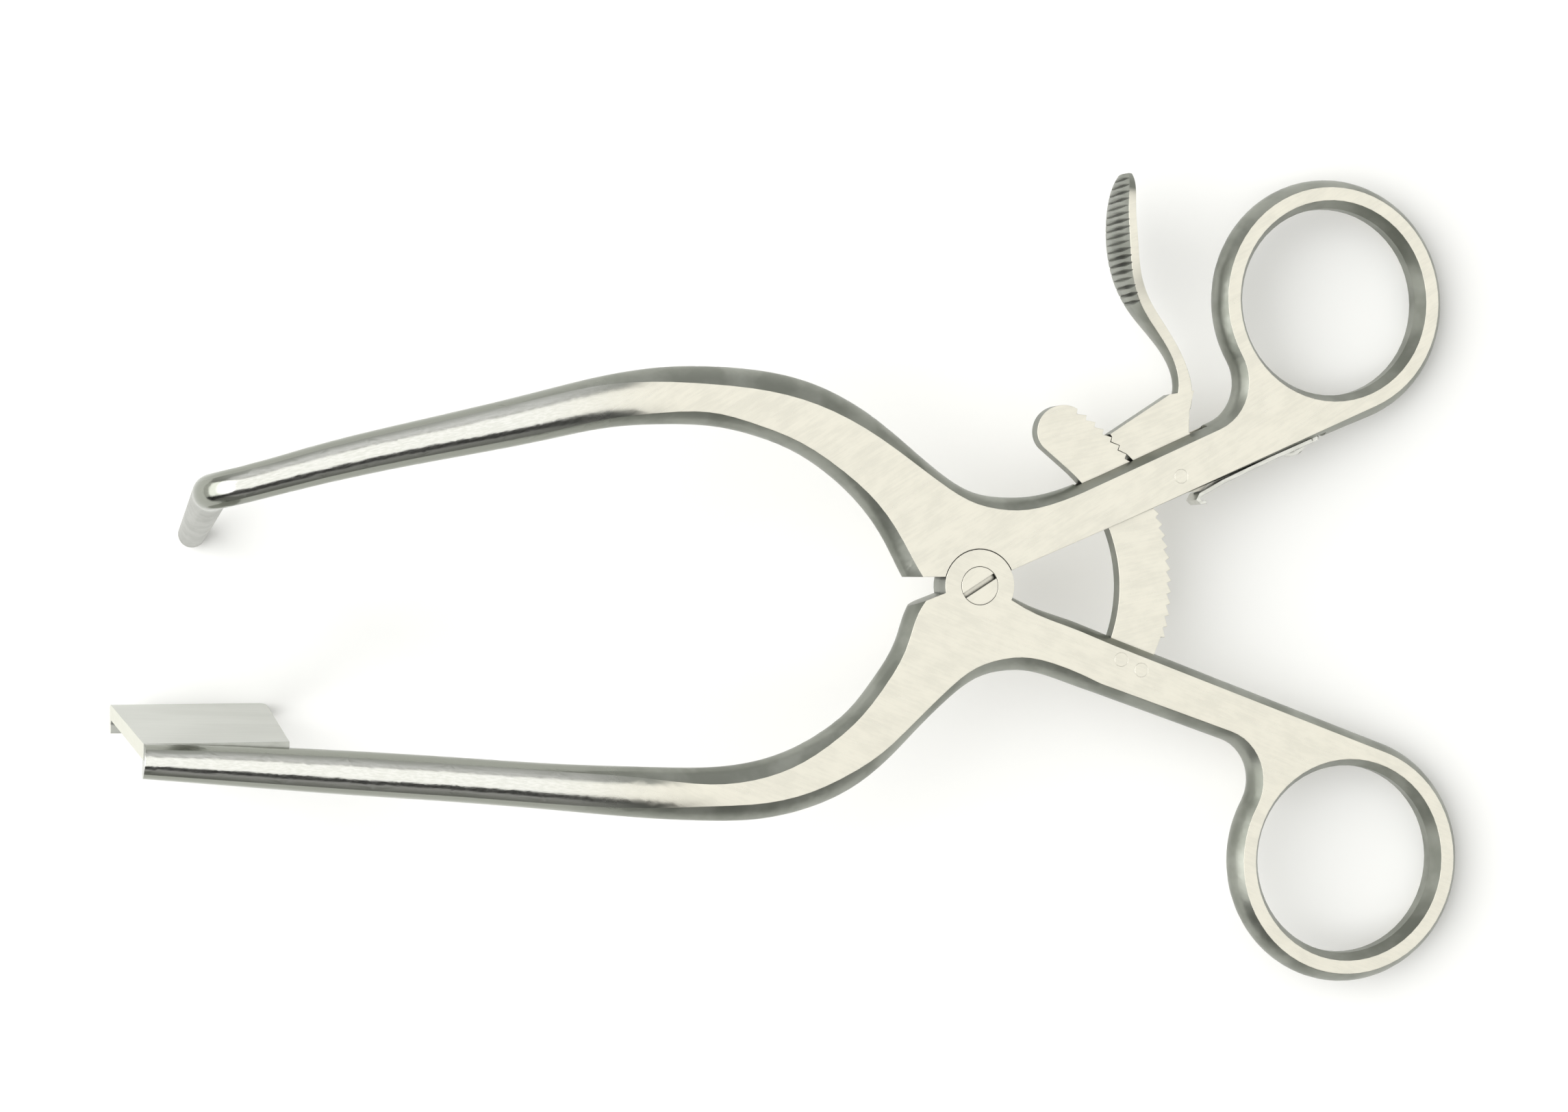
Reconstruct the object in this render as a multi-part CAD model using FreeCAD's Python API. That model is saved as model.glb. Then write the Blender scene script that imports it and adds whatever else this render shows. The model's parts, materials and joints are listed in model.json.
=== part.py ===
"""Self-retaining cheek retractor: two bowed arms that turn about a slotted screw, one ending in a flat blade
and one in a single prong, held open by a curved rack and a sprung thumb lever. Millimetres.

The layout is drawn about the pivot: x towards the finger rings, y towards the prong arm, z up off the flat face.
The finished pieces are then turned and tilted so that both tips and both rings stand on the floor z = 0.
"""
import FreeCAD
import Part
import math
import os

from FreeCAD import Placement, Rotation, Vector

# how the instrument stands
TILT = 15.0               # the arms' plane, sloping down towards the rings
YAW = -1.55               # turn about the pivot that brings both rings down together

# forged arms
HALF = 2.75               # half the thickness of the flat parts
BEVEL = 1.3               # how far the flanks stand out beyond the flat faces on the shanks
JOINT_GAP = 0.03          # from the mid plane to each half of the lap joint
BOSS_R = 5.1              # the round half-thickness boss of each arm at the pivot
POCKET_R = 5.22           # the recess that the other arm's boss turns in

# finger rings
RING_R = 17.8             # outer radius at the mid plane
HOLE_R = 13.6             # the bore's land
HOLE_RIM_R = 14.6         # where the bore opens out on the flat faces
HOLE_LAND = 1.8           # height of the land
UPPER_RING = Vector(54.1, 41.2, 0)
LOWER_RING = Vector(56.3, -39.8, 0)
THROAT_R = 6.2            # the hollow between shank and ring

# ratchet
RACK_IN_R = 21.5
RACK_ROOT_R = 28.7
RACK_TIP_R = 29.35
RACK_HALF = 1.15          # half the rack's thickness
TOOTH_PITCH = 3.2         # degrees about the pivot
FIRST_TOOTH = -14.7       # the lowest tooth's tip, degrees about the pivot
TEETH = 24
TOOTH_LEAN = 0.6          # degrees that each steep face leans, so that the pawl can lift out
RACK_FOOT = -29.0         # the foot's end inside the lower arm, degrees
RIVET_R = 1.0
RIVET_ANGLE = -26.5
RIVET_RADII = (23.6, 27.0)

# thumb lever
PIN = Vector(30.3, 15.6, 0)
PIN_R = 1.0
PIN_CLEAR = 0.05
LEVER_HALF = 1.2
SLOT_HALF = 1.25
TOOTH_CLEAR = 0.06
PAWL_FIRST = 17           # the rack tooth that the pawl's first tooth sits behind
PAWL_TEETH = 3

# pivot screw
SCREW_HEAD_R = 2.66
SCREW_HEAD_H = 1.5
SCREW_R = 1.9
SCREW_CLEAR = 0.07
SLOT_ANGLE = 32.0

# prong
PRONG_LENGTH = 50.0       # from the mid plane to the tip
PRONG_BEND_R = 4.0
PRONG_LEAN = 5.0          # how far the tip leans towards the blade
PRONG_DRIFT = 1.0         # and towards the rings
PRONG_TIP_R = 2.0

# blade
BLADE_TOP_LEFT = -115.3
BLADE_TOP_RIGHT = -96.2
BLADE_FACE_Y = -20.7      # the inner face at the mid plane
BLADE_THICK = 2.2
BLADE_DEPTH = 48.5
BLADE_LEAN = 3.6          # how far the lower edge leans towards the prong
BLADE_FLARE = 1.7         # how far each side edge spreads by the lower end
BLADE_CORNER_R = 4.5
LIP_OUT = 4.2             # the turned-out lower lip
LIP_BEND_R = 0.9          # inside the lip's bend

# leaf spring
SPRING_THICK = 0.6
HEEL = (-2.6, 0.5)        # the lever's heel on the spring: run along the seat, drop out from it
HEEL_TOE = (-1.2, 0.1)
SPRING_HALF_WIDTH = 1.9
SEAT_SLOPE = 22.8         # degrees, the inner edge of the upper shank
SEAT_START = Vector(36.0, 15.0, 0)
SCREW_RUN = 13.6          # the spring screw, along the seat
SPRING_END = 17.9
SPRING_BEND = 9.0         # where the free limb leaves the seat

UP = Vector(0, 0, 1)


# ---------------------------------------------------------------- small helpers

def polar(radius, degrees, z=0.0):
    a = math.radians(degrees)
    return Vector(radius * math.cos(a), radius * math.sin(a), z)


def along(degrees):
    return polar(1.0, degrees)


def disc(radius, z_low, z_high, centre=Vector(0, 0, 0)):
    return Part.makeCylinder(radius, z_high - z_low, Vector(centre.x, centre.y, z_low))


def prism(points, z_low, z_high):
    """A plate with the given outline, between two heights."""
    loop = [Vector(p[0], p[1], z_low) for p in points]
    wire = Part.makePolygon(loop + [loop[0]])
    return Part.Face(wire).extrude(Vector(0, 0, z_high - z_low))


def biggest(shape):
    """The main solid of a boolean's result."""
    return max(shape.Solids, key=lambda s: s.Volume)


def joined(shapes):
    return biggest(shapes[0].multiFuse(shapes[1:]).removeSplitter())


def sewn(faces):
    skin = Part.makeCompound(faces)
    skin.sewShape()
    return Part.Solid(skin.Shells[0])


# ---------------------------------------------------------------- forged sections

ROUND_CORNER = 1 - math.cos(math.radians(45))   # an ellipse's 45 degree points, as a share of its half width
ROUND_PULL = 0.3905                             # the pull of a quarter arc's control points, turned 45 degrees


def blend(flat, oval, roundness):
    return [f * (1 - roundness) + o * roundness for f, o in zip(flat, oval)]


def section_side(width, inset, half, roundness):
    """Control points (distance in from the edge, height) of one flank, lower corner to upper."""
    flat = [(inset, -half), (-inset / 3, -half / 3), (-inset / 3, half / 3), (inset, half)]
    r, c, k = width / 2, ROUND_CORNER, ROUND_PULL
    low = 1 - c
    oval = [(r * c, -half * low), (r * (c - k), -half * (low - k)),
            (r * (c - k), half * (low - k)), (r * c, half * low)]
    return [blend(f, o, roundness) for f, o in zip(flat, oval)]


def section_top(width, inset_a, inset_b, half, roundness):
    """Control points of the upper face, from edge a to edge b."""
    run = width - inset_a - inset_b
    flat = [(inset_a + run * t / 3, half) for t in range(4)]
    r, c, k = width / 2, ROUND_CORNER, ROUND_PULL
    low = 1 - c
    oval = [(r * c, half * low), (r * (c + k), half * (low + k)),
            (r * (2 - c - k), half * (low + k)), (r * (2 - c), half * low)]
    return [blend(f, o, roundness) for f, o in zip(flat, oval)]


def section(a, b, up, inset_a, inset_b, half, roundness):
    """The four sides across an arm, four control points each: flat faces with bulging flanks, or an oval rod.

    a and b are the widest points at the mid plane, up is the direction of the upper face.
    """
    across = b - a
    width = across.Length
    across = across / width
    left = section_side(width, inset_a, half, roundness)
    right = [(width - s, -z) for s, z in section_side(width, inset_b, half, roundness)]
    top = section_top(width, inset_a, inset_b, half, roundness)
    bottom = [(s, -z) for s, z in reversed(top)]
    return [[a + across * s + up * z for s, z in side] for side in (left, top, right, bottom)]


def end_face(sides):
    edges = []
    for side in sides:
        curve = Part.BezierCurve()
        curve.setPoles(side)
        edges.append(curve.toShape())
    return Part.Face(Part.Wire(edges))


def skinned(sections):
    """The four long faces through a row of sections: each control point runs along its own smooth curve."""
    along_arm = [0.0]
    for near, far in zip(sections, sections[1:]):
        steps = [(q - p).Length for m, n in zip(near, far) for p, q in zip(m, n)]
        along_arm.append(along_arm[-1] + sum(steps) / len(steps))
    faces = []
    for side in range(4):
        poles = []
        for corner in range(4):
            track = Part.BSplineCurve()
            track.interpolate(Points=[s[side][corner] for s in sections], Parameters=along_arm)
            poles.append(track.getPoles())
        surface = Part.BSplineSurface()
        surface.buildFromPolesMultsKnots(poles, (4, 4), track.getMultiplicities(), (0.0, 1.0),
                                         track.getKnots(), False, False, 3, track.Degree)
        faces.append(surface.toShape())
    return faces


def arm_sections(stations):
    """Sections at stations of (a, b, inset_a, inset_b, half, roundness)."""
    return [section(Vector(*a, 0), Vector(*b, 0), UP, *shape) for a, b, *shape in stations]


def arm_body(sections, shank, a, b):
    """One solid from a skin and the shank that carries on from its last section, between a and b."""
    middle = (a + b) * 0.5
    by_distance = sorted(shank.Faces, key=lambda f: (f.CenterOfMass - middle).Length)
    return sewn([end_face(sections[0])] + skinned(sections) + by_distance[1:])


# ---------------------------------------------------------------- rings and shanks

def tangent_point(point, centre, radius, side):
    """Where the line from point touches the circle, side +1 to the left of the way to the centre."""
    way = centre - point
    offset = math.acos(radius / way.Length)
    back = math.atan2(-way.y, -way.x)
    a = back - side * offset
    return centre + Vector(math.cos(a), math.sin(a), 0) * radius


def shank_wire(outer, inner, outer_slope, ring, hand, outer_inset, inner_inset, ring_inset, z):
    """One level of a shank and its ring: outer edge, hollow throat, ring, inner edge, and the end.

    hand is +1 for the arm whose ring lies towards +y and -1 for its mirror image.
    """
    across = (inner - outer).normalize()
    start = outer + across * outer_inset
    end = inner - across * inner_inset
    direction = along(outer_slope)
    normal = Vector(-direction.y, direction.x, 0) * hand
    throat_r = THROAT_R + ring_inset
    ring_r = RING_R - ring_inset
    # the throat's centre is throat_r off the edge and throat_r + ring_r from the ring's centre
    edge = outer + across * ring_inset
    off_edge = (ring - edge).dot(normal)
    run = math.sqrt((throat_r + ring_r) ** 2 - (off_edge - throat_r) ** 2)
    foot = edge + direction * ((ring - edge).dot(direction) - run)
    throat = foot + normal * throat_r
    meet = throat + (ring - throat).normalize() * throat_r
    middle = throat + ((foot - throat).normalize() + (meet - throat).normalize()).normalize() * throat_r
    touch = tangent_point(end, ring, ring_r, -hand)
    far = ring + ((ring - meet).normalize() + (ring - touch).normalize()).normalize() * ring_r
    lift = Vector(0, 0, z)
    edges = [
        Part.makeLine(start + lift, foot + lift),
        Part.Arc(foot + lift, middle + lift, meet + lift).toShape(),
        Part.Arc(meet + lift, far + lift, touch + lift).toShape(),
        Part.makeLine(touch + lift, end + lift),
        Part.makeLine(end + lift, start + lift),
    ]
    return Part.Wire(edges)


def shank_and_ring(outer, inner, outer_slope, ring, hand, inner_inset):
    levels = []
    for z, inset in ((-HALF, 1.0), (0.0, 0.0), (HALF, 1.0)):
        levels.append(shank_wire(outer, inner, outer_slope, ring, hand, BEVEL * inset,
                                 inner_inset * inset, BEVEL * inset, z))
    return Part.makeLoft(levels, True, False)


def ring_bore(centre):
    """The hole's solid: a short cylindrical land that flares to a wider rim at each flat face."""
    land = HOLE_LAND / 2
    rise = HALF - land
    beyond = 0.5
    flare = (HOLE_RIM_R - HOLE_R) * (1 + beyond / rise)
    body = disc(HOLE_R, -HALF - 1, HALF + 1, centre)
    upper = Part.makeCone(HOLE_R, HOLE_R + flare, rise + beyond, centre + Vector(0, 0, land))
    lower = Part.makeCone(HOLE_R, HOLE_R + flare, rise + beyond, centre - Vector(0, 0, land), UP * -1)
    return body.multiFuse([upper, lower])


# ---------------------------------------------------------------- upper arm: prong, bow, shank, ring

UPPER_SPLIT_A = Vector(18.5, 15.95, 0)
UPPER_SPLIT_B = Vector(21.4, 9.09, 0)
UPPER_SLOPE = 23.8

UPPER_STATIONS = [
    # outer edge, inner edge, outer and inner inset of the flat face, half thickness, roundness
    ((-102.85, 16.0), (-101.7, 11.2), 1.0, 1.0, 2.47, 1.0),
    ((-101.88, 16.28), (-100.73, 11.45), 1.0, 1.0, 2.47, 1.0),
    ((-100.0, 16.8), (-98.83, 11.94), 1.0, 1.0, 2.49, 1.0),
    ((-94.3, 18.5), (-93.1, 13.4), 1.0, 1.0, 2.55, 1.0),
    ((-78.9, 22.5), (-77.4, 16.8), 1.2, 1.2, 2.75, 1.0),
    ((-63.2, 26.4), (-61.7, 19.9), 1.6, 1.4, 2.85, 0.97),
    ((-54.2, 28.7), (-53.0, 21.7), 2.0, 1.5, 2.82, 0.75),
    ((-46.0, 30.1), (-45.6, 22.3), 2.5, 1.6, 2.78, 0.3),
    ((-38.6, 30.4), (-39.0, 22.2), 2.7, 1.7, HALF, 0.05),
    ((-30.6, 29.85), (-33.2, 21.2), 2.9, 1.3, HALF, 0.0),
    ((-22.6, 27.85), (-26.9, 19.0), 2.9, 1.15, HALF, 0.0),
    ((-15.5, 24.1), (-21.4, 15.6), 2.5, 1.15, HALF, 0.0),
    ((-9.3, 19.3), (-16.5, 11.0), 1.9, 1.5, HALF, 0.0),
    ((-3.6, 14.9), (-12.6, 5.2), 1.6, 1.8, HALF, 0.0),
    ((0.9, 12.9), (-8.9, -1.2), 1.8, 2.0, HALF, 0.0),
    ((5.3, 12.5), (-3.6, -4.6), 2.1, 1.5, HALF, 0.0),
    ((10.2, 13.0), (6.0, -0.6), 1.9, 0.8, HALF, 0.0),
    ((14.6, 14.35), (14.6, 4.6), 1.5, 0.3, HALF, 0.0),
    ((18.5, 15.95), (21.4, 9.09), BEVEL, 0.0, HALF, 0.0),
]


def inner_edge_y(x):
    """The upper shank's flat inner edge."""
    slope = (UPPER_SPLIT_B.y - 2.5) / (UPPER_SPLIT_B.x - 5.5)
    return 2.5 + (x - 5.5) * slope


def upper_trim():
    """What is ground away below the upper arm's end face and inner edge."""
    right = UPPER_SPLIT_B.x
    points = [(-30, 1.25), (-3.8, 1.25), (0.5, inner_edge_y(0.5)), (right, inner_edge_y(right)),
              (right, -20), (-30, -20)]
    return prism(points, -10, 10)


def prong_sections():
    """The rod's bent end, tip first: a domed tip, a tapered pin and a quarter turn into the rod."""
    a, b, _, _, root_r, _ = UPPER_STATIONS[0]
    middle = (Vector(*a, 0) + Vector(*b, 0)) * 0.5
    side = (Vector(*b, 0) - Vector(*a, 0)).normalize()
    forward = UP.cross(side)
    if forward.x > 0:
        forward = forward * -1
    knee = middle - UP * PRONG_BEND_R
    root = knee + forward * PRONG_BEND_R
    pin = Vector(PRONG_DRIFT, -PRONG_LEAN, PRONG_BEND_R + PRONG_TIP_R - PRONG_LENGTH)
    heading = pin.normalize()
    reach = PRONG_LENGTH - PRONG_BEND_R - PRONG_TIP_R
    tip = root + Vector(PRONG_DRIFT, -PRONG_LEAN, -reach)

    def ring(centre, direction, radius):
        across = (side - direction * side.dot(direction)).normalize()
        lift = direction.cross(across)
        return section(centre - across * radius, centre + across * radius, lift, 1.0, 1.0, radius, 1.0)

    rows = []
    for degrees in (78, 62, 46, 30, 15, 0):
        turn = math.radians(degrees)
        centre = tip + heading * (PRONG_TIP_R * math.sin(turn))
        rows.append(ring(centre, heading, PRONG_TIP_R * math.cos(turn)))
    for share in (0.975, 0.93, 0.8, 0.6, 0.4, 0.2, 0.08, 0.03):
        centre = root + (tip - root) * share
        rows.append(ring(centre, heading, root_r + (PRONG_TIP_R - root_r) * share))
    for degrees in (75, 60, 45, 30, 15):
        turn = math.radians(degrees)
        centre = knee + forward * (PRONG_BEND_R * math.sin(turn)) + UP * (PRONG_BEND_R * math.cos(turn))
        direction = forward * math.cos(turn) - UP * math.sin(turn)
        rows.append(ring(centre, direction, root_r))
    return rows


def shank_slot():
    """The slot through the upper shank for the rack and the pawl."""
    s0, s1 = 19.4, 41.2
    low, high = -6.0, 14.0
    e = along(UPPER_SLOPE)
    n = Vector(-e.y, e.x, 0)
    corners = [e * s0 + n * low, e * s1 + n * low, e * s1 + n * high, e * s0 + n * high]
    return prism([(c.x, c.y) for c in corners], -SLOT_HALF, SLOT_HALF)


def spring_seat():
    """The flat on the upper shank's inner edge that the leaf spring is screwed to."""
    e = along(SEAT_SLOPE)
    n = Vector(-e.y, e.x, 0)
    far = SEAT_START + e * 18.6
    near = SEAT_START - e * 0.2
    corners = [near, far, far - n * 4, near - n * 4]
    return prism([(c.x, c.y) for c in corners], -10, 10)


def upper_arm():
    sections = prong_sections() + arm_sections(UPPER_STATIONS)
    shank = shank_and_ring(UPPER_SPLIT_A, UPPER_SPLIT_B, UPPER_SLOPE, UPPER_RING, 1, 0.0)
    body = arm_body(sections, shank, UPPER_SPLIT_A, UPPER_SPLIT_B).cut(upper_trim())
    body = joined([body, disc(BOSS_R, -HALF, -JOINT_GAP)])
    body = body.cut(disc(POCKET_R, -JOINT_GAP, HALF + 1))
    body = body.cut(ring_bore(UPPER_RING))
    body = body.cut(shank_slot())
    body = body.cut(spring_seat())
    body = body.cut(disc(PIN_R, -HALF - 1, HALF + 1, PIN))
    body = body.cut(disc(SCREW_R, -HALF - 1, 1))
    body = body.cut(spring_screw_shank())
    return biggest(body)


# ---------------------------------------------------------------- lower arm: bow, shank, ring

LOWER_SPLIT_A = Vector(17.5, -15.1, 0)
LOWER_SPLIT_B = Vector(20.35, -7.25, 0)
LOWER_SLOPE = -19.5

LOWER_STATIONS = [
    ((-115.45, -25.35), (-115.15, -20.7), 1.0, 1.0, 2.4, 1.0),
    ((-103.6, -26.5), (-103.2, -21.1), 1.0, 1.0, 2.6, 1.0),
    ((-88.8, -27.9), (-88.3, -22.0), 1.2, 1.2, 2.8, 1.0),
    ((-73.6, -29.2), (-73.1, -23.15), 1.4, 1.4, 2.85, 1.0),
    ((-59.6, -30.6), (-59.0, -24.25), 1.7, 1.7, 2.85, 0.95),
    ((-46.9, -31.9), (-46.6, -24.85), 2.2, 2.2, 2.8, 0.55),
    ((-38.4, -32.4), (-38.4, -25.0), 2.3, 2.4, HALF, 0.12),
    ((-31.0, -32.25), (-32.2, -24.3), 2.3, 2.3, HALF, 0.0),
    ((-24.4, -30.9), (-27.2, -22.8), 2.3, 2.1, HALF, 0.0),
    ((-18.4, -28.4), (-22.6, -20.45), 2.3, 1.7, HALF, 0.0),
    ((-13.4, -24.8), (-18.4, -17.3), 1.8, 1.4, HALF, 0.0),
    ((-8.6, -20.15), (-14.6, -12.7), 1.5, 1.35, HALF, 0.0),
    ((-4.2, -16.1), (-11.5, -7.6), 1.5, 1.2, HALF, 0.0),
    ((0.1, -13.1), (-9.0, -1.6), 1.7, 1.2, HALF, 0.0),
    ((4.2, -12.05), (-3.0, 2.0), 1.9, 1.2, HALF, 0.0),
    ((8.8, -12.25), (6.0, -1.85), 2.0, 1.2, HALF, 0.0),
    ((13.2, -13.6), (13.4, -4.63), 1.8, 1.25, HALF, 0.0),
    ((17.5, -15.1), (20.35, -7.25), BEVEL, BEVEL, HALF, 0.0),
]


def lower_trim():
    """What is ground away above the lower arm's end face, clear of the upper arm's corner."""
    return prism([(-30, -10.4), (-5.3, -1.1), (-2.5, 0.0), (-2.5, 20), (-30, 20)], -10, 10)


def lower_boss_trim():
    """The lower arm's upper half keeps only its round boss above the pivot."""
    ring = disc(30, -10, 10).cut(disc(BOSS_R, -11, 11))
    keep = prism([(-2.5, 0.02), (4.7, 0.02), (4.7, 30), (-2.5, 30)], -10, 10)
    return ring.common(keep)


def blade_rebate():
    """The notch in the rod's underside that the blade is brazed into."""
    depth = 10.0
    return prism([(BLADE_TOP_LEFT - 5, BLADE_FACE_Y - BLADE_THICK), (BLADE_TOP_RIGHT, BLADE_FACE_Y - BLADE_THICK),
                  (BLADE_TOP_RIGHT, BLADE_FACE_Y + 5), (BLADE_TOP_LEFT - 5, BLADE_FACE_Y + 5)], -depth, 0.0)


def rack_solid():
    return rack_face().extrude(UP * 2 * RACK_HALF).translated(UP * -RACK_HALF)


def lower_arm():
    shank = shank_and_ring(LOWER_SPLIT_A, LOWER_SPLIT_B, LOWER_SLOPE, LOWER_RING, -1, BEVEL)
    body = arm_body(arm_sections(LOWER_STATIONS), shank, LOWER_SPLIT_A, LOWER_SPLIT_B)
    body = body.cut(lower_trim()).cut(lower_boss_trim())
    body = joined([body, disc(BOSS_R, JOINT_GAP, HALF)])
    body = body.cut(disc(POCKET_R, -HALF - 1, JOINT_GAP))
    body = body.cut(ring_bore(LOWER_RING))
    body = body.cut(disc(SCREW_R + SCREW_CLEAR, -1, HALF + 1))
    body = body.cut(disc(SCREW_HEAD_R + SCREW_CLEAR, HALF - SCREW_HEAD_H - SCREW_CLEAR, HALF + 1))
    body = body.cut(blade_rebate())
    body = body.cut(retractor_blade())
    body = body.cut(rack_solid())
    for centre in rivet_centres():
        body = body.cut(disc(RIVET_R, -HALF - 1, HALF + 1, centre))
    return biggest(body)


# ---------------------------------------------------------------- blade

def retractor_blade():
    """A flat blade, leaning in, with a rolled lip at its lower edge and one rounded corner."""
    y0, y1 = BLADE_FACE_Y, BLADE_FACE_Y + BLADE_LEAN
    down = Vector(0, BLADE_LEAN, -BLADE_DEPTH).normalize()
    out = Vector(0, -down.z, down.y) * -1
    top = Vector(0, y0, 0)
    low = Vector(0, y1, -BLADE_DEPTH)
    # the side profile: plate, then the lip, drawn at x = 0
    inner_corner = low
    lip_tip = inner_corner + out * LIP_OUT
    lip_back = lip_tip - down * BLADE_THICK
    elbow = inner_corner + out * BLADE_THICK - down * BLADE_THICK
    outer_top = top + out * BLADE_THICK
    profile = Part.makePolygon([top, inner_corner, lip_tip, lip_back, elbow, outer_top, top])
    width = 40.0
    plate = Part.Face(profile).extrude(Vector(width, 0, 0))
    plate = plate.translated(Vector(BLADE_TOP_LEFT - 8, 0, 0))
    bends = [e for e in plate.Edges if abs(e.Length - width) < 0.01]
    outer_bend = [e for e in bends if e.distToShape(Part.Vertex(inner_corner + Vector(-110, 0, 0)))[0] < 0.01]
    plate = plate.makeFillet(LIP_BEND_R + 1.3, outer_bend)
    bends = [e for e in plate.Edges if e.distToShape(Part.Vertex(elbow + Vector(-110, 0, 0)))[0] < 0.01]
    plate = plate.makeFillet(LIP_BEND_R, [e for e in bends if abs(e.Length - width) < 0.01])
    # the front outline: edges that spread slightly, and one rounded lower corner
    deep = BLADE_DEPTH + 1.0
    left_low = BLADE_TOP_LEFT - BLADE_FLARE * deep / BLADE_DEPTH
    right_low = BLADE_TOP_RIGHT + BLADE_FLARE * deep / BLADE_DEPTH
    corners = [Vector(BLADE_TOP_LEFT, -40, 1), Vector(BLADE_TOP_RIGHT, -40, 1),
               Vector(right_low, -40, -BLADE_DEPTH), Vector(left_low, -40, -BLADE_DEPTH)]
    outline = Part.Face(Part.makePolygon(corners + [corners[0]])).extrude(Vector(0, 40, 0))
    sharp = [e for e in outline.Edges
             if e.distToShape(Part.Vertex(corners[2]))[0] < 0.01 and abs(e.Length - 40) < 0.01]
    outline = outline.makeFillet(BLADE_CORNER_R, sharp)
    soft = [e for e in outline.Edges
            if e.distToShape(Part.Vertex(corners[3]))[0] < 0.01 and abs(e.Length - 40) < 0.01]
    outline = outline.makeFillet(0.8, soft)
    return biggest(plate.common(outline))


# ---------------------------------------------------------------- rack

def rack_face():
    """The rack's outline at the mid plane: foot, smooth inner edge, rounded free end, ratchet teeth."""
    points = []
    edges = []
    free_end = 66.2
    tooth = FIRST_TOOTH
    foot_out = polar(RACK_ROOT_R, RACK_FOOT)
    foot_in = polar(RACK_IN_R, RACK_FOOT)
    points.append(foot_out)
    points.append(polar(RACK_ROOT_R, FIRST_TOOTH - 0.15))
    for k in range(TEETH):
        tip = tooth + k * TOOTH_PITCH
        points.append(polar(RACK_TIP_R, tip))
        if k < TEETH - 1:
            points.append(polar(RACK_ROOT_R, tip + TOOTH_PITCH - TOOTH_LEAN))
    for p, q in zip(points, points[1:]):
        edges.append(Part.makeLine(p, q))
    last = points[-1]
    shoulder = polar(28.9, 62.6)
    crown = polar(27.2, 66.6)
    back = polar(23.8, 67.4)
    heel = polar(22.0, 62.5)
    nose = Part.BSplineCurve()
    nose.interpolate([last, shoulder, crown, polar(25.6, 67.9), back, heel])
    edges.append(nose.toShape())
    inner_top = polar(RACK_IN_R, 50.0)
    edges.append(Part.makeLine(heel, inner_top))
    middle = polar(RACK_IN_R, (50.0 + RACK_FOOT) / 2)
    edges.append(Part.Arc(inner_top, middle, foot_in).toShape())
    edges.append(Part.makeLine(foot_in, foot_out))
    return Part.Face(Part.Wire(edges))


def ratchet_rack():
    body = rack_solid()
    for centre in rivet_centres():
        body = body.cut(disc(RIVET_R, -HALF - 1, HALF + 1, centre))
    return biggest(body)


def rivet_centres():
    return [polar(radius, RIVET_ANGLE) for radius in RIVET_RADII]


def rack_rivets():
    pins = [disc(RIVET_R, -HALF, HALF, c) for c in rivet_centres()]
    return Part.makeCompound(pins)


# ---------------------------------------------------------------- pivot screw

def pivot_screw():
    head = disc(SCREW_HEAD_R, HALF - SCREW_HEAD_H, HALF)
    shank = disc(SCREW_R, -HALF, HALF - SCREW_HEAD_H)
    slot = Part.makeBox(8, 0.8, 1.0, Vector(-4, -0.4, HALF - 0.75))
    slot.rotate(Vector(0, 0, 0), UP, SLOT_ANGLE)
    return biggest(head.fuse(shank).cut(slot).removeSplitter())


# ---------------------------------------------------------------- pawl lever

LEVER_STATIONS = [
    # centre line point, direction of the centre line, thickness, width across the pad
    ((31.05, 25.6), 82.0, 3.3, 2 * LEVER_HALF),
    ((31.5, 28.9), 96.0, 2.6, 2.5),
    ((30.3, 32.6), 117.0, 2.2, 3.1),
    ((27.6, 36.6), 127.0, 2.2, 4.4),
    ((24.9, 40.2), 124.0, 2.2, 6.0),
    ((23.2, 44.0), 107.0, 2.0, 8.0),
    ((22.4, 49.0), 94.0, 1.9, 9.6),
    ((22.3, 54.0), 88.0, 1.8, 8.8),
    ((22.7, 57.6), 84.0, 1.5, 6.6),
    ((22.85, 58.8), 83.0, 1.1, 4.4),
]
GROOVES = 18
GROOVE_PITCH = 1.0
GROOVE_DEPTH = 0.32


def lever_section(centre, direction, thick, wide):
    """A rounded bar across the lever: thick in the layout's plane, wide along z."""
    e = along(direction)
    n = Vector(-e.y, e.x, 0)
    c = Vector(centre[0], centre[1], 0)
    return section(c - n * (thick / 2), c + n * (thick / 2), UP, 0.35, 0.35, wide / 2, 0.0)


def pawl_tooth_points():
    """The pawl's saw teeth, which lie in the rack's gaps."""
    clear = math.degrees(TOOTH_CLEAR / RACK_ROOT_R)
    points = []
    for k in range(PAWL_TEETH):
        tip = FIRST_TOOTH + (PAWL_FIRST + k) * TOOTH_PITCH
        points.append(polar(RACK_TIP_R + TOOTH_CLEAR, tip - clear / 2))
        points.append(polar(RACK_ROOT_R + 2 * TOOTH_CLEAR, tip + TOOTH_PITCH - TOOTH_LEAN - clear))
    return points[:-1]


def pawl_plate():
    """The flat part of the lever, in the shank's slot: teeth, pin eye and the heel that meets the spring."""
    teeth = [(p.x, p.y) for p in pawl_tooth_points()]
    top = [(20.1, 21.6), (29.2, 27.4), (32.9, 28.0), (32.2, 25.0), (32.1, 22.0), (34.6, 19.2)]
    toe, heel = spring_point(*HEEL_TOE), spring_point(*HEEL)
    tail = [(toe.x, toe.y), (heel.x, heel.y)]
    belly = [(31.0, 13.3), (28.5, 13.0), (27.5, 14.2)]
    return prism(top + tail + belly + teeth, -LEVER_HALF, LEVER_HALF)


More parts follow.
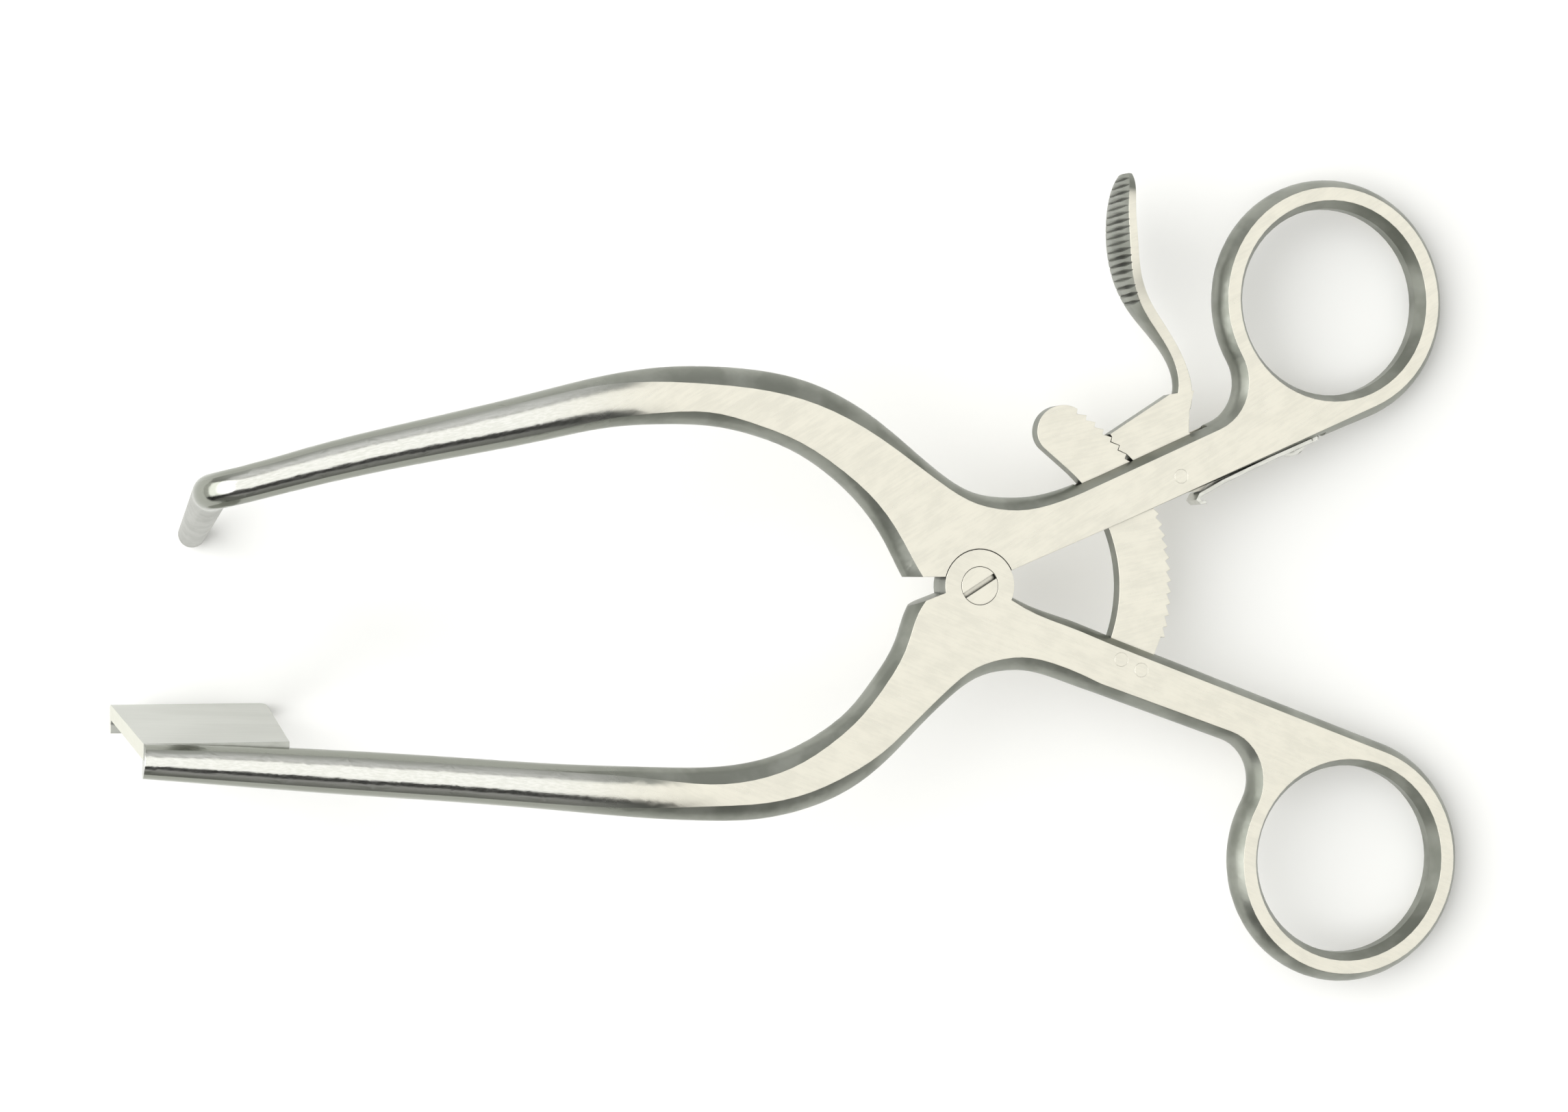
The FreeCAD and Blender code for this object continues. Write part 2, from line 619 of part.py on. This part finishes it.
def serrations():
    """Cross grooves down the pad's front face, following its curve."""
    cuts = []
    nodes = [s for s in LEVER_STATIONS if s[0][1] > 39]
    for k in range(GROOVES):
        y = 58.0 - k * GROOVE_PITCH
        low = max([s for s in nodes if s[0][1] <= y], key=lambda s: s[0][1], default=nodes[0])
        high = min([s for s in nodes if s[0][1] > y], key=lambda s: s[0][1])
        t = (y - low[0][1]) / (high[0][1] - low[0][1])
        x = low[0][0] * (1 - t) + high[0][0] * t
        slant = low[1] * (1 - t) + high[1] * t
        thick = low[2] * (1 - t) + high[2] * t
        n = Vector(math.sin(math.radians(slant)), -math.cos(math.radians(slant)), 0)
        face = Vector(x, y, 0) - n * (thick / 2)
        cutter = Part.makeBox(0.5, 0.5, 20, Vector(-0.25, -0.25, -10))
        cutter.rotate(Vector(0, 0, 0), UP, 45 + slant)
        cuts.append(cutter.translated(face))
    return cuts


def pawl_lever():
    sections = [lever_section(*s) for s in LEVER_STATIONS]
    stem = sewn([end_face(sections[0]), end_face(sections[-1])] + skinned(sections))
    body = joined([stem, pawl_plate()])
    for cutter in serrations():
        body = body.cut(cutter)
    body = body.cut(disc(PIN_R + PIN_CLEAR, -HALF, HALF, PIN))
    return biggest(body)


def pawl_pin():
    return disc(PIN_R, -HALF, HALF, PIN)


# ---------------------------------------------------------------- leaf spring and its screw

def spring_point(run, drop):
    """A point run along the seat from its start and drop out from the shank."""
    e = along(SEAT_SLOPE)
    n = Vector(-e.y, e.x, 0)
    return SEAT_START + e * run - n * drop


def leaf_spring():
    """A flat strip on the seat, bowed slightly off it, with a hooked free end."""
    t = SPRING_THICK
    upper = [spring_point(SPRING_END, 0), spring_point(SPRING_BEND, 0), spring_point(1.0, 0.22),
             spring_point(-3.0, 0.62), spring_point(-3.9, 1.35), spring_point(-3.5, 2.2),
             spring_point(-2.6, 2.45)]
    lower = [spring_point(-2.5, 1.95), spring_point(-3.1, 1.8), spring_point(-3.25, 1.4),
             spring_point(-2.8, 1.2), spring_point(1.0, 0.22 + t), spring_point(SPRING_BEND, t),
             spring_point(SPRING_END, t)]
    strip = prism([(p.x, p.y) for p in upper + lower], -SPRING_HALF_WIDTH, SPRING_HALF_WIDTH)
    end = spring_point(SPRING_END, t / 2)
    corners = [e for e in strip.Edges
               if abs(e.Length - t) < 0.01 and (e.CenterOfMass - end).Length < SPRING_HALF_WIDTH + 0.1]
    strip = strip.makeFillet(SPRING_HALF_WIDTH - 0.05, corners)
    return biggest(strip.cut(spring_screw_shank(0.05)))


def spring_screw_shank(clear=0.0):
    e = along(SEAT_SLOPE)
    out = Vector(e.y, -e.x, 0)
    base = spring_point(SCREW_RUN, SPRING_THICK)
    return Part.makeCylinder(0.9 + clear, 4.0 + SPRING_THICK, base, out * -1)


def spring_screw():
    """A low domed head with a driver slot, over a short threaded shank."""
    e = along(SEAT_SLOPE)
    out = Vector(e.y, -e.x, 0)
    base = spring_point(SCREW_RUN, SPRING_THICK)
    head_r, head_h = 2.0, 0.95
    sphere_r = (head_r ** 2 + head_h ** 2) / (2 * head_h)
    ball = Part.makeSphere(sphere_r, base - out * (sphere_r - head_h))
    head = ball.common(Part.makeCylinder(head_r, head_h + 1, base, out))
    slot = Part.makeBox(0.45, 6, 0.5, Vector(-0.225, -3, 0))
    slot.Placement = Placement(base + out * (head_h - 0.42), Rotation(Vector(0, 0, 1), out))
    return biggest(head.fuse(spring_screw_shank()).cut(slot).removeSplitter())


# ---------------------------------------------------------------- assembly

PIECES = {
    "upper_arm": upper_arm,
    "lower_arm": lower_arm,
    "retractor_blade": retractor_blade,
    "ratchet_rack": ratchet_rack,
    "rack_rivets": rack_rivets,
    "pivot_screw": pivot_screw,
    "pawl_lever": pawl_lever,
    "pawl_pin": pawl_pin,
    "leaf_spring": leaf_spring,
    "spring_screw": spring_screw,
}


def stand(shape):
    """Turn the layout about the pivot, then tip it down towards the rings."""
    placed = shape.copy()
    placed.rotate(Vector(0, 0, 0), UP, YAW)
    placed.rotate(Vector(0, 0, 0), Vector(0, 1, 0), TILT)
    return placed


def main():
    os.makedirs("parts", exist_ok=True)
    shapes = {name: stand(make()) for name, make in PIECES.items()}
    whole = Part.makeCompound(list(shapes.values())).optimalBoundingBox(False)
    shift = Vector(-(whole.XMin + whole.XMax) / 2, -(whole.YMin + whole.YMax) / 2, -whole.ZMin)
    for name, shape in shapes.items():
        box = shape.optimalBoundingBox(False)
        print(f"{name}: solids {len(shape.Solids)} valid {shape.isValid()} volume {shape.Volume:.1f}"
              f" lowest {box.ZMin + shift.z:.3f}")
        shape.translate(shift)
        shape.exportStep(f"parts/{name}.step")
    print(f"pivot at {shift.x:.3f}, {shift.y:.3f}, {shift.z:.3f}")
    print(f"size {whole.XLength:.2f} x {whole.YLength:.2f} x {whole.ZLength:.2f}")


main()
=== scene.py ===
"""Looks for the self-retaining cheek retractor: ground and polished stainless steel on a white table."""

import json
import math

import bmesh
import bpy
from mathutils import Matrix, Vector


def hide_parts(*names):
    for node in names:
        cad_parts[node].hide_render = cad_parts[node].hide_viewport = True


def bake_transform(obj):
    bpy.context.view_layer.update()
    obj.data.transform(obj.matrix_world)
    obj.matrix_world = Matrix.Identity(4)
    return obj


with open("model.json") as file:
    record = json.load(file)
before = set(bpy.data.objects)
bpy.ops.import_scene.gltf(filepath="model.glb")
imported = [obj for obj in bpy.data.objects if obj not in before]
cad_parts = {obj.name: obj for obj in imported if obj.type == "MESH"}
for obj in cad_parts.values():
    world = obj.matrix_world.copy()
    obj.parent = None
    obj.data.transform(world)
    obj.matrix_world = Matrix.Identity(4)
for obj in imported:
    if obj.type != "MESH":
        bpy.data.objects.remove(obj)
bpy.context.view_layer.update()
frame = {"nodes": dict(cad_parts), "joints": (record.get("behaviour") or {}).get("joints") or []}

MM = 0.001
EDGE_BREAK = 0.12 * MM          # how far the steel's corners are rounded off
SEAM_SHADE_REACH = 0.0006            # how wide a gap still counts as a seam darkened with painted shade
BRUSH_DEPTH = 0.00001           # the grinding marks' depth
SPRING_BRUSH_DEPTH = 0.000006
ROD_FULL = 0.064                # the arms are wholly rod this far left of the pivot
ROD_GONE = 0.040                # and wholly ground flat here
BENT_FULL = -0.007              # below the arms' plane, wholly prong, in painted shade
BENT_GONE = -0.002
TILT = math.radians(15.0)       # the arms' plane slopes down towards the rings
YAW = math.radians(-1.55)       # the arms' turn about the pivot, within that plane

joints = {joint["name"]: joint for joint in frame["joints"]}
PIVOT = Vector(joints["arm_pivot"]["pos_m"])
FACE = -Vector(joints["arm_pivot"]["axis"]).normalized()   # straight up off the arms' flat faces


def layout(x, y, z=0.0):
    """A point given in millimetres from the pivot, along and across the arms' plane, in the row frame."""
    turn = Matrix.Rotation(TILT, 3, "Y") @ Matrix.Rotation(YAW, 3, "Z")
    return PIVOT + turn @ Vector((x, y, z)) * MM


# ---------------------------------------------------------------- material helpers

class Graph:
    """A short way to write one material's nodes."""

    def __init__(self, name):
        self.material = bpy.data.materials.new(name)
        self.material.use_nodes = True
        self.tree = self.material.node_tree
        self.surface = self.tree.nodes["Principled BSDF"]

    def node(self, kind, **settings):
        made = self.tree.nodes.new(kind)
        for key, value in settings.items():
            setattr(made, key, value)
        return made

    def feed(self, socket, value):
        if isinstance(value, bpy.types.NodeSocket):
            self.tree.links.new(value, socket)
        else:
            socket.default_value = value

    def math(self, operation, a, b=0.0):
        made = self.node("ShaderNodeMath", operation=operation)
        self.feed(made.inputs[0], a)
        self.feed(made.inputs[1], b)
        return made.outputs[0]

    def remap(self, value, low, high, to_low=0.0, to_high=1.0):
        made = self.node("ShaderNodeMapRange", interpolation_type="SMOOTHSTEP")
        self.feed(made.inputs["Value"], value)
        for key, number in (("From Min", low), ("From Max", high), ("To Min", to_low), ("To Max", to_high)):
            made.inputs[key].default_value = number
        return made.outputs[0]

    def mix(self, share, a, b):
        """One colour into another. The Mix node's colour sockets are its inputs 6 and 7 and its output 2."""
        made = self.node("ShaderNodeMix", data_type="RGBA")
        self.feed(made.inputs[0], share)
        self.feed(made.inputs[6], a)
        self.feed(made.inputs[7], b)
        return made.outputs[2]

    def blend(self, share, a, b):
        """One number into another. The Mix node's float sockets are its inputs 2 and 3 and its output 0."""
        made = self.node("ShaderNodeMix", data_type="FLOAT")
        self.feed(made.inputs[0], share)
        self.feed(made.inputs[2], a)
        self.feed(made.inputs[3], b)
        return made.outputs[0]

    def place(self):
        return self.node("ShaderNodeTexCoord").outputs["Object"]

    def noise(self, scale, stretch=(1, 1, 1), turn=0.0, detail=3.0, roughness=0.5):
        """Noise in object space, stretched along the steel's brushing."""
        spin = self.node("ShaderNodeMapping")
        self.feed(spin.inputs["Vector"], self.place())
        spin.inputs["Rotation"].default_value = (0, 0, turn)
        squeeze = self.node("ShaderNodeMapping")
        self.feed(squeeze.inputs["Vector"], spin.outputs[0])
        squeeze.inputs["Scale"].default_value = stretch
        made = self.node("ShaderNodeTexNoise")
        self.feed(made.inputs["Vector"], squeeze.outputs[0])
        made.inputs["Scale"].default_value = scale
        made.inputs["Detail"].default_value = detail
        made.inputs["Roughness"].default_value = roughness
        return made.outputs["Fac"]

    def toward(self, direction):
        """How far a surface faces one way, from -1 to 1."""
        dot = self.node("ShaderNodeVectorMath", operation="DOT_PRODUCT")
        self.feed(dot.inputs[0], self.node("ShaderNodeTexCoord").outputs["Normal"])
        dot.inputs[1].default_value = direction
        return dot.outputs["Value"]

    def facing(self):
        """How squarely a surface faces out of the arms' plane: 1 on the ground faces, 0 on the edges."""
        return self.math("ABSOLUTE", self.toward(FACE))

    def height(self):
        """Distance out of the arms' plane, in metres."""
        dot = self.node("ShaderNodeVectorMath", operation="DOT_PRODUCT")
        self.feed(dot.inputs[0], self.place())
        dot.inputs[1].default_value = FACE
        return self.math("SUBTRACT", dot.outputs["Value"], PIVOT.dot(FACE))

    def paint_seam_shade(self, color):
        """Darken a colour with painted shade in the seams, slots and grooves, by how occluded they are."""
        near = self.node("ShaderNodeAmbientOcclusion", samples=6)
        near.inputs["Distance"].default_value = SEAM_SHADE_REACH
        return self.mix(self.remap(near.outputs["AO"], 0.35, 0.85), SEAM_SHADE, color)

    def bump(self, height, distance):
        made = self.node("ShaderNodeBump")
        rounded = self.node("ShaderNodeBevel", samples=4)
        rounded.inputs["Radius"].default_value = EDGE_BREAK
        self.feed(made.inputs["Normal"], rounded.outputs[0])
        made.inputs["Strength"].default_value = 1.0
        made.inputs["Distance"].default_value = distance
        self.feed(made.inputs["Height"], height)
        self.feed(self.surface.inputs["Normal"], made.outputs[0])

    def finish(self, color, roughness):
        self.surface.inputs["Metallic"].default_value = 1.0
        self.feed(self.surface.inputs["Base Color"], color)
        self.feed(self.surface.inputs["Roughness"], roughness)
        return self.material


# painted shade, laid into seams, slots and grooves
SEAM_SHADE = (0.07, 0.07, 0.07 * 0.9, 1)
CREAM = (0.90, 0.87, 0.775, 1)
CREAM_DULL = (0.82, 0.795, 0.71, 1)
# painted shade: the flanks' dark grey, on the same steel as the cream faces
FLANK_SHADE = (0.31, 0.32, 0.285, 1)
FLANK_SHADE_DARK = (0.225, 0.235, 0.205, 1)
# painted highlight along the rods' middle, and painted shade at their edges
POLISHED_HIGHLIGHT = (0.97, 0.97, 0.94, 1)
POLISHED_HIGHLIGHT_DULL = (0.86, 0.865, 0.82, 1)
ROD_EDGE_SHADE = (0.29, 0.30, 0.265, 1)
# painted shade on the bent prong below the arms' plane
PRONG_SHADE = (0.35, 0.355, 0.33, 1)
PRONG_SHADE_DARK = (0.27, 0.275, 0.25, 1)
BLADE_PALE = (0.57, 0.58, 0.545, 1)
BLADE_DULL = (0.48, 0.49, 0.455, 1)
BLADE_END = (0.68, 0.68, 0.60, 1)


def ground_steel(name, turn, rod_turn=None):
    """Flat faces ground satin, the slanted flanks in painted shade. Given the rod's turn, the rod is polished
    lengthways, with a painted highlight along its middle and painted shade at its edges, and the bent prong
    below the arms' plane is in painted shade.
    """
    g = Graph(name)
    mottle = g.noise(260, (1, 1.6, 1), turn, 4.0, 0.6)
    brush = g.noise(900, (0.12, 2.6, 1), turn, 3.0, 0.6)
    flat = g.remap(g.facing(), 0.93, 0.985)
    tone = g.math("ADD", g.math("MULTIPLY", mottle, 0.55), g.math("MULTIPLY", brush, 0.45))
    face_color = g.mix(g.remap(tone, 0.36, 0.62), CREAM_DULL, CREAM)
    # painted shade on the slanted flanks
    flank_shade_color = g.mix(g.remap(g.noise(180), 0.35, 0.65), FLANK_SHADE_DARK, FLANK_SHADE)
    color = g.mix(flat, flank_shade_color, face_color)
    rough = g.blend(flat, 0.36, g.remap(brush, 0.3, 0.7, 0.27, 0.40))
    depth = brush
    if rod_turn is not None:
        split = g.node("ShaderNodeSeparateXYZ")
        g.feed(split.inputs[0], g.place())
        rod = g.remap(split.outputs["X"], PIVOT.x - ROD_FULL, PIVOT.x - ROD_GONE, 1.0, 0.0)
        streak = g.noise(1500, (0.03, 3.0, 3.0), rod_turn, 2.0, 0.55)
        # painted highlight down the rod's middle, streaked by its real polishing
        polish_and_highlight = g.mix(g.remap(streak, 0.3, 0.7), POLISHED_HIGHLIGHT_DULL, POLISHED_HIGHLIGHT)
        # painted shade where the rod turns away from the arms' plane
        polish_and_highlight = g.mix(g.remap(g.facing(), 0.78, 0.965), ROD_EDGE_SHADE, polish_and_highlight)
        color = g.mix(rod, color, polish_and_highlight)
        rough = g.blend(rod, rough, g.remap(streak, 0.3, 0.7, 0.12, 0.19))
        depth = g.blend(rod, depth, g.math("MULTIPLY", streak, 0.6))
        bent = g.remap(g.height(), BENT_FULL, BENT_GONE, 1.0, 0.0)
        # painted shade on the prong below the arms' plane
        color = g.mix(bent, color, g.mix(g.remap(mottle, 0.35, 0.65), PRONG_SHADE_DARK, PRONG_SHADE))
        rough = g.blend(bent, rough, 0.34)
    g.bump(depth, BRUSH_DEPTH)
    # painted shade in the seams, slots and grooves
    return g.finish(g.paint_seam_shade(color), rough)


def blade_steel():
    """Dull satin, brushed along the blade, with paler ground ends."""
    g = Graph("blade_satin")
    streak = g.noise(700, (0.05, 1.5, 2.6), 0.0, 3.0, 0.6)
    cloud = g.noise(90, (0.6, 1, 1), 0.0, 2.0)
    tone = g.math("ADD", g.math("MULTIPLY", streak, 0.6), g.math("MULTIPLY", cloud, 0.4))
    color = g.mix(g.remap(tone, 0.35, 0.65), BLADE_DULL, BLADE_PALE)
    end = g.remap(g.math("ABSOLUTE", g.toward((1, 0, 0))), 0.7, 0.92)
    color = g.mix(end, color, BLADE_END)
    g.bump(streak, BRUSH_DEPTH)
    return g.finish(color, g.remap(streak, 0.3, 0.7, 0.38, 0.48))


def spring_steel():
    """Bright strip steel, brushed along its length."""
    g = Graph("spring_polish")
    streak = g.noise(900, (0.08, 2.0, 2.0), math.radians(-21), 2.0)
    color = g.mix(g.remap(streak, 0.3, 0.7), (0.66, 0.66, 0.62, 1), (0.80, 0.80, 0.76, 1))
    g.bump(streak, SPRING_BRUSH_DEPTH)
    return g.finish(color, g.remap(streak, 0.3, 0.7, 0.16, 0.26))


UPPER_BRUSH = math.radians(-30)     # how each arm's flat faces were ground
LOWER_BRUSH = math.radians(24)
UPPER_ROD = math.radians(-12)       # the way each rod runs
LOWER_ROD = math.radians(6.2)
materials = {
    "upper_arm": ground_steel("upper_arm_steel", UPPER_BRUSH, UPPER_ROD),
    "lower_arm": ground_steel("lower_arm_steel", LOWER_BRUSH, LOWER_ROD),
    "retractor_blade": blade_steel(),
    "ratchet_rack": ground_steel("rack_steel", math.radians(-12)),
    "rack_rivets": ground_steel("rivet_steel", LOWER_BRUSH),
    "pivot_screw": ground_steel("screw_steel", math.radians(-32)),
    "pawl_lever": ground_steel("lever_steel", math.radians(-20)),
    "pawl_pin": ground_steel("pin_steel", UPPER_BRUSH),
    "leaf_spring": spring_steel(),
    "spring_screw": spring_steel(),
}
for name, node in frame["nodes"].items():
    node.data.materials.clear()
    node.data.materials.append(materials[name])


# ---------------------------------------------------------------- leaf spring, cut across where it leaves its seat

def leaf_spring_strip():
    """The strip, cut across at 1 mm steps where it leaves its seat."""
    source = frame["nodes"]["leaf_spring"]
    hinge = Vector(joints["spring_flex"]["pos_m"])
    seat = (layout(45, 18.78) - layout(36, 15)).normalized()
    shape = bmesh.new()
    shape.from_mesh(source.data)
    bmesh.ops.remove_doubles(shape, verts=shape.verts, dist=1e-6)
    for step in range(-8, 5):
        everything = shape.verts[:] + shape.edges[:] + shape.faces[:]
        cut = hinge + seat * step * MM
        bmesh.ops.bisect_plane(shape, geom=everything, dist=1e-6, plane_co=cut, plane_no=seat)
    mesh = bpy.data.meshes.new("leaf_spring_strip")
    shape.to_mesh(mesh)
    shape.free()
    mesh.materials.append(materials["leaf_spring"])
    strip = bpy.data.objects.new("leaf_spring_strip", mesh)
    bpy.context.scene.collection.objects.link(strip)
    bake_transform(strip)
    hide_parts("leaf_spring")


leaf_spring_strip()


# ---------------------------------------------------------------- table, lights and camera

def table_top():
    """A plain matt white table."""
    g = Graph("white_table")
    g.surface.inputs["Roughness"].default_value = 0.7
    g.surface.inputs["Specular IOR Level"].default_value = 0.1
    tone = g.remap(g.noise(6), 0.3, 0.7)
    g.feed(g.surface.inputs["Base Color"], g.mix(tone, (0.93, 0.93, 0.925, 1), (0.95, 0.95, 0.945, 1)))
    bpy.ops.mesh.primitive_plane_add(size=6.0, location=(0, 0, 0))
    top = bpy.context.object
    top.name = "table_top"
    top.data.materials.append(g.material)


def surroundings():
    """What the polished rods mirror: a bright ceiling over the table, a dark gap in front and grey walls."""
    world = bpy.data.worlds.new("room")
    bpy.context.scene.world = world
    world.use_nodes = True
    tree = world.node_tree
    tree.nodes.clear()
    where = tree.nodes.new("ShaderNodeTexCoord")
    split = tree.nodes.new("ShaderNodeSeparateXYZ")
    tree.links.new(where.outputs["Generated"], split.inputs[0])
    across = tree.nodes.new("ShaderNodeMapRange")
    tree.links.new(split.outputs["Y"], across.inputs["Value"])
    across.inputs["From Min"].default_value = -1.0
    across.inputs["From Max"].default_value = 1.0
    ramp = tree.nodes.new("ShaderNodeValToRGB")
    tree.links.new(across.outputs[0], ramp.inputs[0])
    bands = [(0.0, 0.38), (0.10, 0.32), (0.135, 0.04), (0.262, 0.04), (0.285, 1.0), (0.76, 1.0), (0.80, 0.5),
             (1.0, 0.5)]
    for at, level in bands:
        stop = ramp.color_ramp.elements.new(at)
        stop.color = (level, level, level * 0.96, 1)
    ramp.color_ramp.elements.remove(ramp.color_ramp.elements[0])
    ramp.color_ramp.elements.remove(ramp.color_ramp.elements[-1])
    back = tree.nodes.new("ShaderNodeBackground")
    tree.links.new(ramp.outputs[0], back.inputs["Color"])
    back.inputs["Strength"].default_value = 1.0
    out = tree.nodes.new("ShaderNodeOutputWorld")
    tree.links.new(back.outputs[0], out.inputs[0])


def softbox(name, azimuth, elevation, distance, size, watts):
    """A square light aimed at the origin, from a direction given in degrees."""
    a, e = math.radians(azimuth), math.radians(elevation)
    way = Vector((math.cos(a) * math.cos(e), math.sin(a) * math.cos(e), math.sin(e)))
    data = bpy.data.lights.new(name, type="AREA")
    data.energy = watts
    data.size = size
    light = bpy.data.objects.new(name, data)
    light.location = way * distance
    light.rotation_mode = "QUATERNION"
    light.rotation_quaternion = way.to_track_quat("Z", "Y")
    bpy.context.scene.collection.objects.link(light)


CAMERA_HEIGHT = 450 * MM
FOCAL_SHARE = 4725 / 2290       # focal length over the picture's width
SENSOR = 36.0


def camera():
    """Straight above the table, over the point midway along the rods."""
    data = bpy.data.cameras.new("camera")
    data.sensor_width = SENSOR
    data.sensor_fit = "HORIZONTAL"
    data.lens = SENSOR * FOCAL_SHARE
    data.clip_start = 0.01
    eye = bpy.data.objects.new("camera", data)
    eye.location = layout(-27.76, 4.18) + Vector((0, 0, CAMERA_HEIGHT))
    eye.rotation_euler = (0, 0, YAW)
    bpy.context.scene.collection.objects.link(eye)
    bpy.context.scene.camera = eye


table_top()
surroundings()
softbox("side_light", 180, 50, 1.2, 1.5, 14)
camera()
bpy.context.scene.view_settings.view_transform = "Standard"
